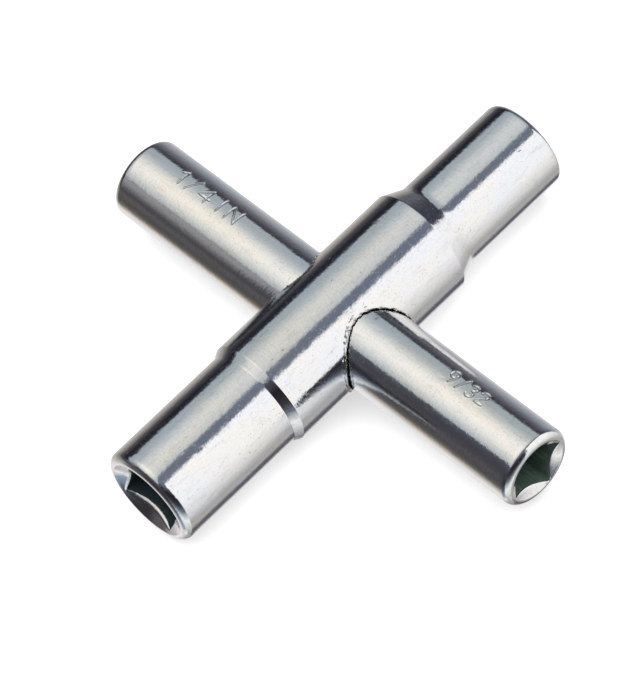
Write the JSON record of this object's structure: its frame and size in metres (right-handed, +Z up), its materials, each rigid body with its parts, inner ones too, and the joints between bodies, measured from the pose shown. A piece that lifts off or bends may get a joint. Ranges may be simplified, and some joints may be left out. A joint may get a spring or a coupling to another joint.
{
  "type": "four-way square socket key",
  "caption": "Cross-shaped steel key of two pressed-together tubes, with a different square socket in each mouth, for bleed screws and valve stems.",
  "frame": {"origin": "the point where the axes of the two tubes cross; the middle of the body tube is 0.4 mm from it, towards +X", "axes": "+X along the body tube, out of its smaller end; +Y along the cross tube, out of its small socket; +Z up, square to both tubes"},
  "size_m": [0.0786, 0.0794, 0.0174],
  "materials": {
    "body_zinc": "bright zinc plated steel, cold formed, fine scratches",
    "cross_zinc": "bright zinc plated steel tube, fine scratches, faint blue and straw tint"
  },
  "bodies": {
    "root": {"body_tube": "body_zinc", "cross_tube": "cross_zinc"}
  },
  "joints": []
}
